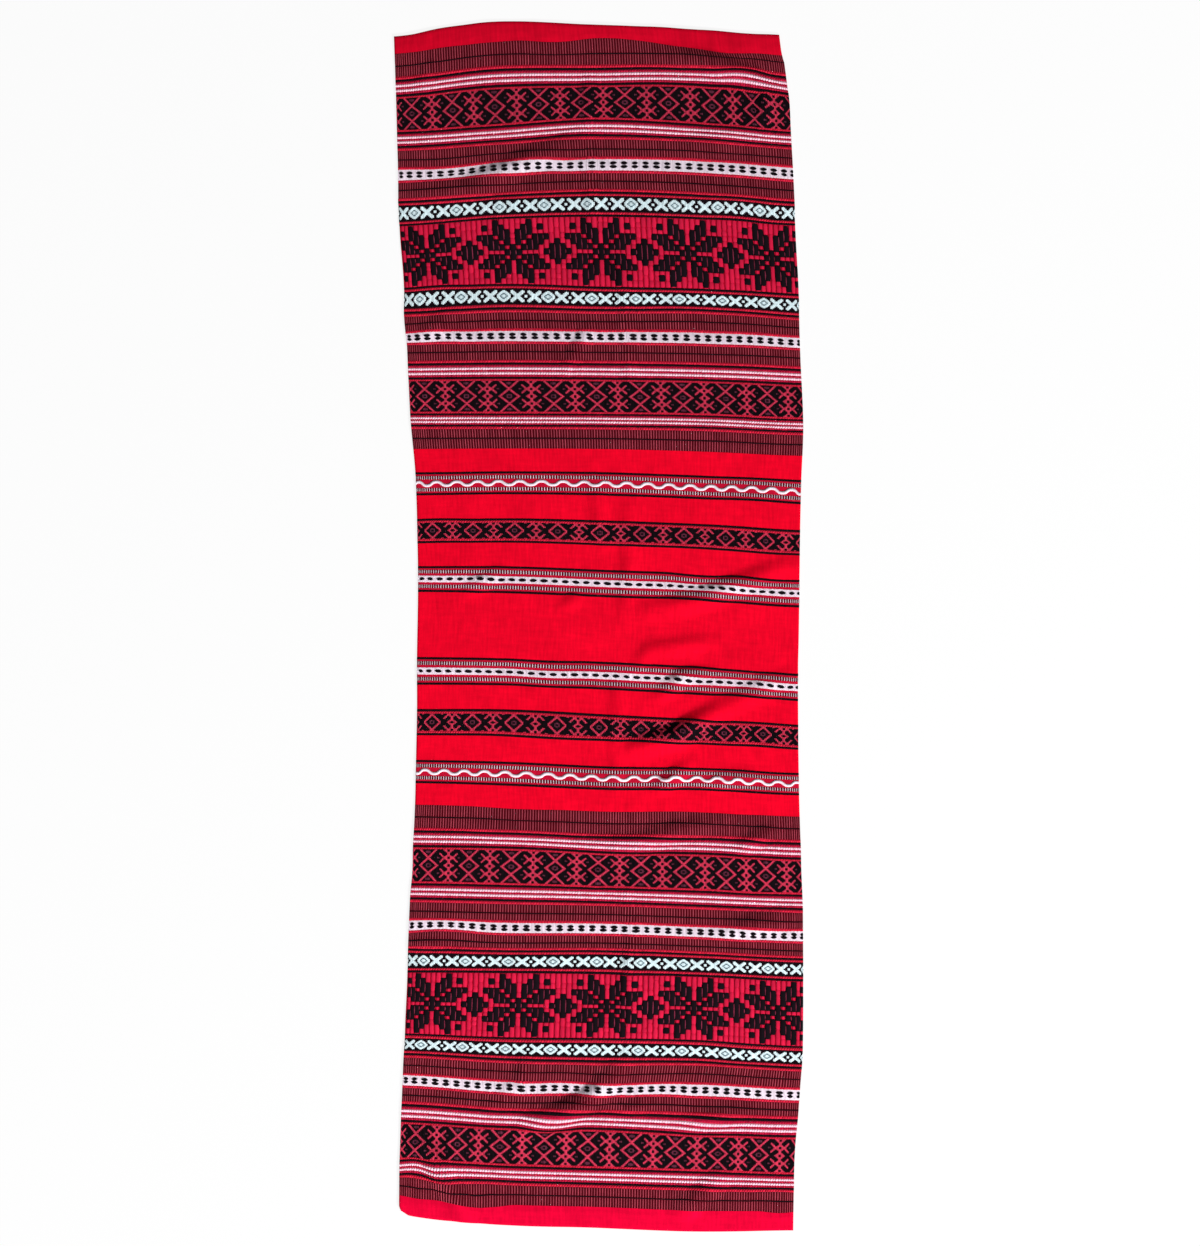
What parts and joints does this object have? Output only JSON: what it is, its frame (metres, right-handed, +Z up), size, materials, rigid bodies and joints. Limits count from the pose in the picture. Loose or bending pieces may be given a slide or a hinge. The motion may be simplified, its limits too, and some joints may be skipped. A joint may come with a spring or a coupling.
{
  "type": "table runner",
  "caption": "Long handwoven table runner with patterned crosswise bands and plain hems, laid out flat with the soft creases of storage",
  "frame": {"origin": "on the surface the cloth lies on, at the middle of its outline", "axes": "+X across the cloth's width, +Y along its length towards the upper hem, +Z up, out of the patterned face"},
  "size_m": [0.408, 1.2102, 0.0075],
  "materials": {
    "runner_cloth": "matt handwoven cotton, red ground with raised black, white and pale blue pattern yarn"
  },
  "bodies": {
    "root": {"runner": "runner_cloth"}
  },
  "joints": []
}
